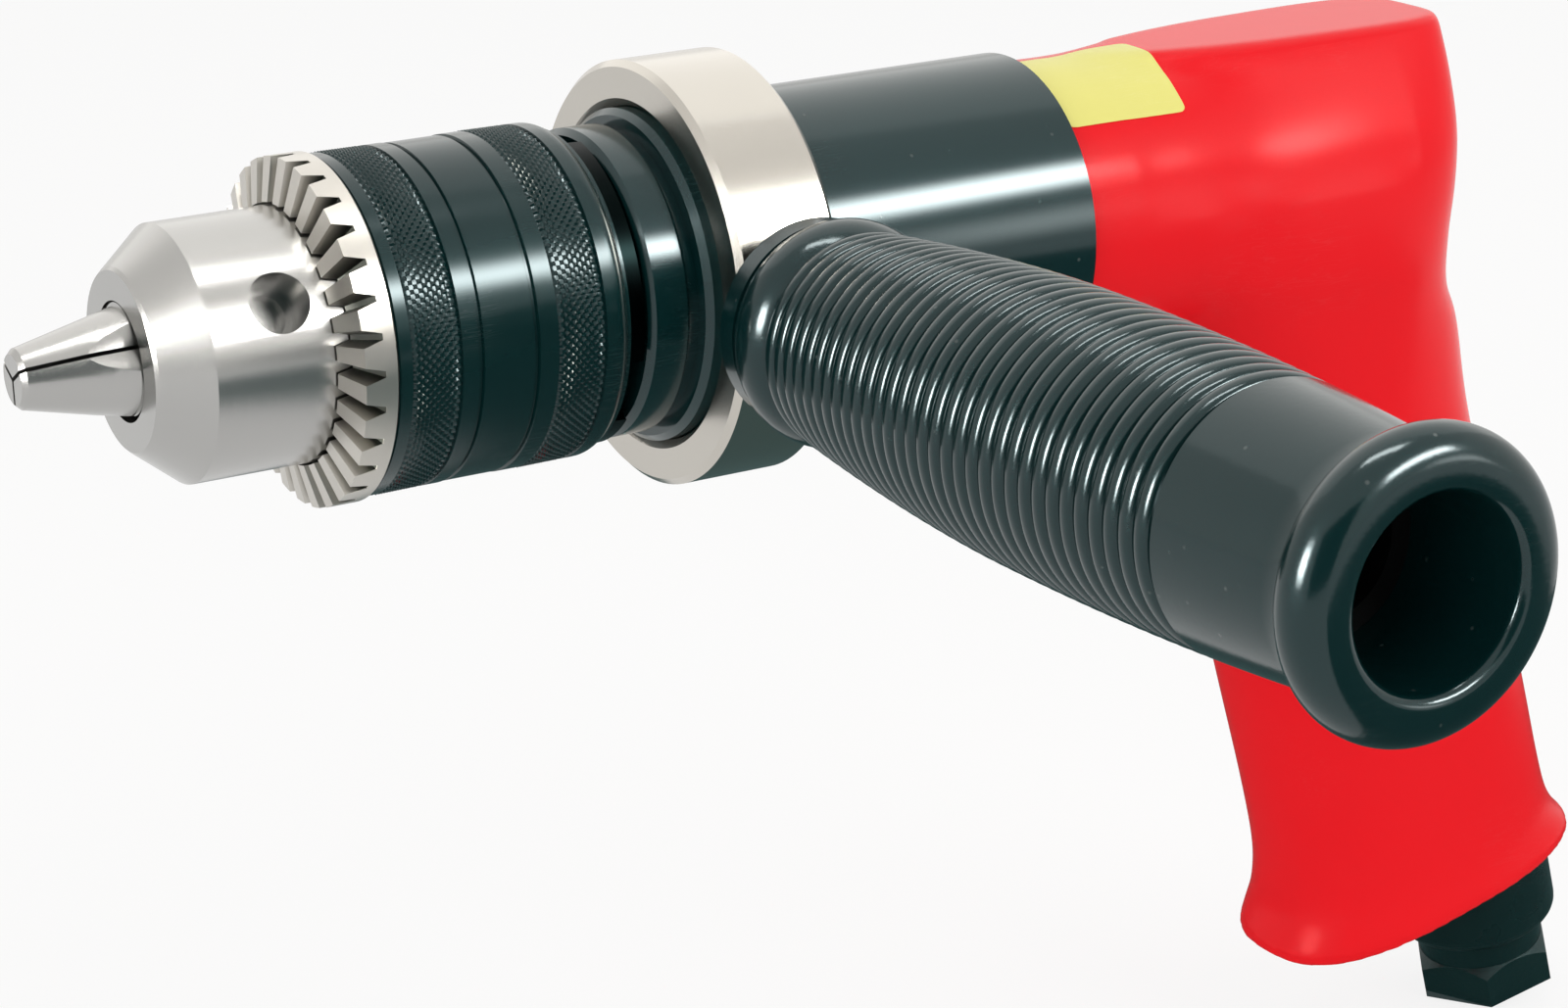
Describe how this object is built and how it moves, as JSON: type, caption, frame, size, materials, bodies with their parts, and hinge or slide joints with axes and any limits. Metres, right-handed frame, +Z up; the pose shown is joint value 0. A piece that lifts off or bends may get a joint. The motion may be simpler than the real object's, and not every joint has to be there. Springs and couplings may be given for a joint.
{
  "type": "air drill",
  "caption": "Pistol-grip reversible air drill with a red housing, black gear case, keyed three-jaw chuck and a ribbed black side handle.",
  "frame": {"origin": "centre of the chuck's nose face, on the spindle axis", "axes": "+X forward along the spindle, +Y towards the side handle, +Z up"},
  "size_m": [0.2326, 0.1718, 0.1597],
  "materials": {
    "red_paint": "gloss red paint",
    "black_barrel": "polished black",
    "black_oxide": "black oxide, knurled",
    "nickel": "warm nickel plate",
    "bright_steel": "bright ground steel",
    "steel": "machined steel",
    "lever_steel": "plated steel",
    "brass": "turned brass",
    "rubber": "smooth black rubber",
    "seal_rubber": "black seal rubber",
    "black_plastic": "black moulded plastic",
    "vane": "phenolic vanes",
    "felt": "wool felt",
    "core": "moulded core",
    "inlet_black": "black oxide"
  },
  "bodies": {
    "housing": {"motor_housing": "red_paint", "gear_case": "black_barrel", "ring_gear": "steel", "front_bearing": "steel", "spindle_seal": "seal_rubber", "gear_spacer": "steel", "motor_front_plate": "steel", "motor_front_bearing": "steel", "motor_cylinder": "steel", "motor_rear_plate": "steel", "motor_rear_bearing": "steel", "throttle_bushing": "brass", "valve_seat": "seal_rubber", "inlet_bushing": "inlet_black", "inlet_seal": "seal_rubber", "inlet_screen": "steel", "exhaust_deflector": "black_plastic", "muffler_felt": "felt", "deflector_screws": "steel"},
    "rotor_body": {"rotor": "steel", "rotor_vanes": "vane", "rotor_pinion": "steel"},
    "first_stage": {"first_carrier": "steel", "first_planet_pins": "steel"},
    "planet_a1": {"first_planet_1": "steel"},
    "planet_a2": {"first_planet_2": "steel"},
    "planet_a3": {"first_planet_3": "steel"},
    "output": {"output_spindle": "steel", "second_planet_pins": "steel", "chuck_body": "bright_steel", "chuck_screw": "steel"},
    "planet_b1": {"second_planet_1": "steel"},
    "planet_b2": {"second_planet_2": "steel"},
    "planet_b3": {"second_planet_3": "steel"},
    "sleeve": {"chuck_sleeve": "black_oxide", "tooth_ring": "nickel", "jaw_nut": "steel"},
    "jaw_a": {"jaw_1": "bright_steel"},
    "jaw_b": {"jaw_2": "bright_steel"},
    "jaw_c": {"jaw_3": "bright_steel"},
    "swivel_ring": {"handle_ring": "nickel"},
    "side_handle": {"handle_stud": "steel", "handle_core": "core", "handle_grip": "rubber"},
    "trigger": {"trigger_button": "black_plastic", "throttle_stem": "steel", "valve_spring": "steel"},
    "reverse": {"reverse_lever": "lever_steel"}
  },
  "joints": [
    {"name": "output_spin", "type": "hinge", "parent": "housing", "child": "output", "pos_m": [-0.07, 0, 0], "axis": [1, 0, 0], "continuous": true},
    {"name": "first_carrier_spin", "type": "hinge", "parent": "housing", "child": "first_stage", "pos_m": [-0.094, 0, 0], "axis": [1, 0, 0], "continuous": true},
    {"name": "rotor_spin", "type": "hinge", "parent": "housing", "child": "rotor_body", "pos_m": [-0.137, 0, 0], "axis": [1, 0, 0], "continuous": true},
    {"name": "first_planet_spin_1", "type": "hinge", "parent": "first_stage", "child": "planet_a1", "pos_m": [-0.101, 0.0105, 0], "axis": [1, 0, 0], "continuous": true},
    {"name": "first_planet_spin_2", "type": "hinge", "parent": "first_stage", "child": "planet_a2", "pos_m": [-0.101, -0.00525, 0.00909], "axis": [1, 0, 0], "continuous": true},
    {"name": "first_planet_spin_3", "type": "hinge", "parent": "first_stage", "child": "planet_a3", "pos_m": [-0.101, -0.00525, -0.00909], "axis": [1, 0, 0], "continuous": true},
    {"name": "second_planet_spin_1", "type": "hinge", "parent": "output", "child": "planet_b1", "pos_m": [-0.085, 0.0105, 0], "axis": [1, 0, 0], "continuous": true},
    {"name": "second_planet_spin_2", "type": "hinge", "parent": "output", "child": "planet_b2", "pos_m": [-0.085, -0.00525, 0.00909], "axis": [1, 0, 0], "continuous": true},
    {"name": "second_planet_spin_3", "type": "hinge", "parent": "output", "child": "planet_b3", "pos_m": [-0.085, -0.00525, -0.00909], "axis": [1, 0, 0], "continuous": true},
    {"name": "sleeve_turn", "type": "hinge", "parent": "output", "child": "sleeve", "pos_m": [-0.04, 0, 0], "axis": [1, 0, 0], "range_deg": [0, 4305.27]},
    {"name": "jaw_slide_a", "type": "slide", "parent": "output", "child": "jaw_a", "axis": [-0.9659, -0.0032, 0.2588], "range_m": [0, 0.02511]},
    {"name": "jaw_slide_b", "type": "slide", "parent": "output", "child": "jaw_b", "axis": [-0.9659, -0.2225, -0.1321], "range_m": [0, 0.02511]},
    {"name": "jaw_slide_c", "type": "slide", "parent": "output", "child": "jaw_c", "axis": [-0.9659, 0.2257, -0.1267], "range_m": [0, 0.02511]},
    {"name": "handle_swivel", "type": "hinge", "parent": "housing", "child": "swivel_ring", "pos_m": [-0.07455, 0, 0], "axis": [1, 0, 0], "continuous": true},
    {"name": "handle_lock", "type": "hinge", "parent": "swivel_ring", "child": "side_handle", "pos_m": [-0.07455, 0.04, 0], "axis": [0, 1, 0], "range_deg": [0, 180]},
    {"name": "trigger_pull", "type": "slide", "parent": "housing", "child": "trigger", "axis": [-0.9715, 0, 0.2368], "range_m": [0, 0.005], "stiffness_N_per_m": 1500, "springref_m": -0.003, "deforming": ["valve_spring"]},
    {"name": "reverse_turn", "type": "hinge", "parent": "housing", "child": "reverse", "pos_m": [-0.14882, 0, -0.03725], "axis": [0.9715, 0, -0.2368], "range_deg": [0, 40]}
  ],
  "couplings": [
    {"joint": "first_carrier_spin", "follows": "output_spin", "ratio": 5},
    {"joint": "rotor_spin", "follows": "output_spin", "ratio": 25},
    {"joint": "first_planet_spin_1", "follows": "output_spin", "ratio": -13.333},
    {"joint": "first_planet_spin_2", "follows": "output_spin", "ratio": -13.333},
    {"joint": "first_planet_spin_3", "follows": "output_spin", "ratio": -13.333},
    {"joint": "second_planet_spin_1", "follows": "output_spin", "ratio": -2.6667},
    {"joint": "second_planet_spin_2", "follows": "output_spin", "ratio": -2.6667},
    {"joint": "second_planet_spin_3", "follows": "output_spin", "ratio": -2.6667},
    {"joint": "jaw_slide_a", "follows": "sleeve_turn", "m_per_rad": 0.00033423},
    {"joint": "jaw_slide_b", "follows": "sleeve_turn", "m_per_rad": 0.00033423},
    {"joint": "jaw_slide_c", "follows": "sleeve_turn", "m_per_rad": 0.00033423}
  ]
}
